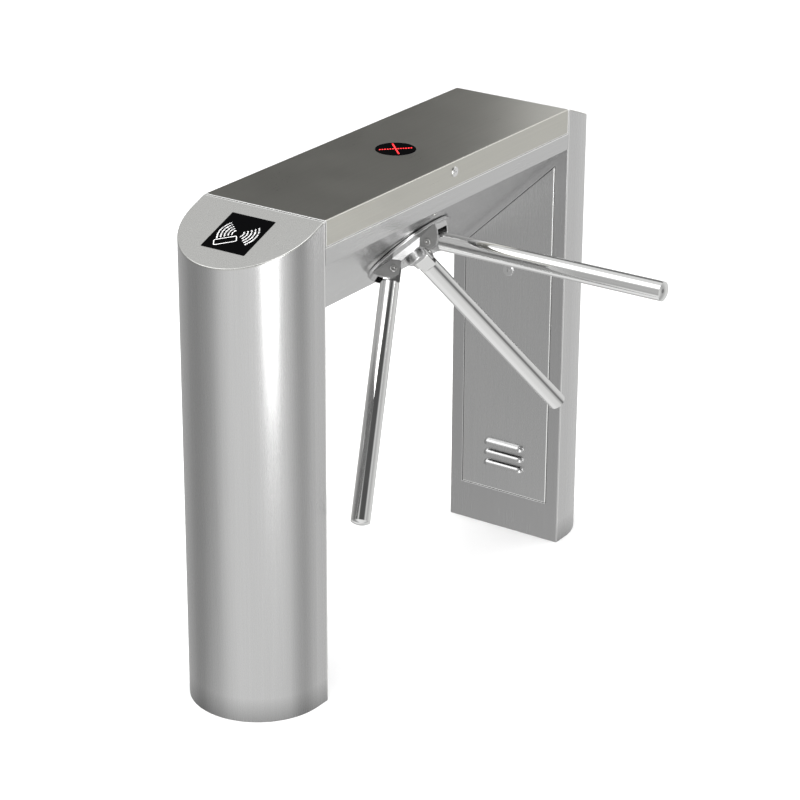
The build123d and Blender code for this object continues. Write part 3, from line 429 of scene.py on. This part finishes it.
def floor():
    """White paper under the part, left out of reflections."""
    start_piece()
    bpy.ops.mesh.primitive_plane_add(size=40, location=(0, 0, -0.0005))
    ground = bpy.context.object
    ground.name = "studio_floor"
    paper = Finish("studio_paper", (0.93, 0.93, 0.93), roughness=0.9)
    paper.tint(paper.noise(2, detail=2), 0.99, 1.01)
    ground.data.materials.append(paper.mat)
    ground.visible_glossy = False


def softbox(name, place, target, size, power, tall=None, reflected=True):
    """A rectangular lamp aimed at target, as tall as it is wide unless tall is given."""
    light = bpy.data.lights.new(name, "AREA")
    light.shape = "RECTANGLE"
    light.size = size
    light.size_y = tall or size
    light.energy = power
    lamp_object = bpy.data.objects.new(name, light)
    bpy.context.scene.collection.objects.link(lamp_object)
    lamp_object.location = place
    lamp_object.visible_camera = False
    lamp_object.visible_glossy = reflected
    aim = Vector(target) - Vector(place)
    lamp_object.rotation_euler = aim.to_track_quat("-Z", "Y").to_euler()


# Brightness of the studio's wall at each bearing, in degrees from +Y towards +X.
WALL = ((-180, 0.92), (-163, 0.76), (-148, 0.42), (-120, 0.32), (-95, 0.36), (-60, 0.52),
        (-25, 0.66), (0, 0.76), (33, 0.80), (48, 0.62), (62, 0.48), (76, 0.52), (92, 0.82), (150, 0.90))

# Flags and lamps hung in front of it: bearing, height, inner and outer radius, brightness.
PATCHES = (
    (-38, 17, 13, 32, 0.09),
    (125, 50, 22, 42, 0.10),
    (66, -8, 5, 14, 0.22),
    (-125, 46, 11, 25, 2.4),
    (0, 90, 10, 22, 3.5),
    (26, 37, 5, 12, 2.6),
    (-140, -62, 20, 38, 0.95),
)


def ramp(nodes, stops):
    """A colour ramp through (position, brightness) stops."""
    node = nodes.new("ShaderNodeValToRGB")
    steps = node.color_ramp.elements
    while len(steps) < len(stops):
        steps.new(0.5)
    for step, (place, light) in zip(steps, sorted(stops)):
        step.position = place
        step.color = (light, light, light * 0.995, 1.0)
    return node


def surroundings():
    """White to look at, and a grey studio wall under a bright ceiling to reflect."""
    world = bpy.data.worlds.new("studio")
    bpy.context.scene.world = world
    world.use_nodes = True
    nodes, links = world.node_tree.nodes, world.node_tree.links

    def blend(factor, first, second):
        mix = nodes.new("ShaderNodeMix")
        mix.data_type = "RGBA"
        for socket, source in (("Factor", factor), ("A", first), ("B", second)):
            if isinstance(source, float):
                mix.inputs[socket].default_value = (source, source, source, 1.0)
            else:
                links.new(source, mix.inputs[socket])
        return mix.outputs["Result"]

    def toward(bearing, height, full, none):
        """1 within full degrees of a direction, 0 beyond none degrees."""
        out, up = math.cos(math.radians(height)), math.sin(math.radians(height))
        dot = nodes.new("ShaderNodeVectorMath")
        dot.operation = "DOT_PRODUCT"
        dot.inputs[1].default_value = (math.sin(math.radians(bearing)) * out,
                                       math.cos(math.radians(bearing)) * out, up)
        links.new(direction, dot.inputs[0])
        patch = nodes.new("ShaderNodeMapRange")
        patch.interpolation_type = "SMOOTHSTEP"
        patch.inputs["From Min"].default_value = math.cos(math.radians(none))
        patch.inputs["From Max"].default_value = math.cos(math.radians(full))
        links.new(dot.outputs["Value"], patch.inputs["Value"])
        return patch.outputs["Result"]

    direction = nodes.new("ShaderNodeTexCoord").outputs["Generated"]
    around = nodes.new("ShaderNodeTexGradient")
    around.gradient_type = "RADIAL"
    links.new(direction, around.inputs["Vector"])
    stops = [(((90 - bearing) / 360 + 0.5) % 1, light) for bearing, light in WALL]
    first, last = min(stops), max(stops)
    seam_light = (first[1] + last[1]) / 2
    wall = ramp(nodes, stops + [(0.0, seam_light), (1.0, seam_light)])
    links.new(around.outputs["Fac"], wall.inputs["Fac"])

    split = nodes.new("ShaderNodeSeparateXYZ")
    links.new(direction, split.inputs["Vector"])
    ceiling = ramp(nodes, ((0.30, 0.0), (0.62, 1.0)))
    links.new(split.outputs["Z"], ceiling.inputs["Fac"])
    room = blend(ceiling.outputs["Color"], wall.outputs["Color"], 0.85)
    for bearing, height, full, none, light in PATCHES:
        room = blend(toward(bearing, height, full, none), room, light)

    lit = nodes.new("ShaderNodeBackground")
    links.new(room, lit.inputs["Color"])
    plain = nodes["Background"]
    plain.inputs["Color"].default_value = (1, 1, 1, 1)
    path = nodes.new("ShaderNodeLightPath")
    choose = nodes.new("ShaderNodeMixShader")
    links.new(path.outputs["Is Camera Ray"], choose.inputs["Fac"])
    links.new(lit.outputs["Background"], choose.inputs[1])
    links.new(plain.outputs["Background"], choose.inputs[2])
    links.new(choose.outputs["Shader"], nodes["World Output"].inputs["Surface"])


def camera():
    """Looks down at the passage side from beyond the reader leg."""
    place = Vector((2.8544, -4.2025, 2.5817))
    azimuth, elevation, roll = (math.radians(a) for a in (34.059, 22.759, 0.311))
    forward = Vector((-math.sin(azimuth) * math.cos(elevation),
                      math.cos(azimuth) * math.cos(elevation), -math.sin(elevation)))
    level = Vector((math.cos(azimuth), math.sin(azimuth), 0))
    upright = level.cross(forward)
    right = level * math.cos(roll) + upright * math.sin(roll)
    up = upright * math.cos(roll) - level * math.sin(roll)
    data = bpy.data.cameras.new("studio_camera")
    data.sensor_width = 36
    data.lens = 122.62
    eye = bpy.data.objects.new("studio_camera", data)
    bpy.context.scene.collection.objects.link(eye)
    turn = Matrix((right, up, -forward)).transposed()
    eye.matrix_world = Matrix.Translation(place) @ turn.to_4x4()
    bpy.context.scene.camera = eye


floor()
surroundings()
camera()
softbox("overhead_softbox", (0.3, -0.4, 4.2), (0, 0, 0), 4.0, 190, reflected=False)
softbox("leg_softbox", (1.88, -1.46, 1.1), (0.1, -0.55, 1.1), 0.7, 24, 2.2)
softbox("lid_softbox", (-0.72, 3.0, 1.95), (0, 0.2, 0.98), 1.5, 3.8, 1.0)
bpy.context.scene.view_settings.view_transform = "Standard"
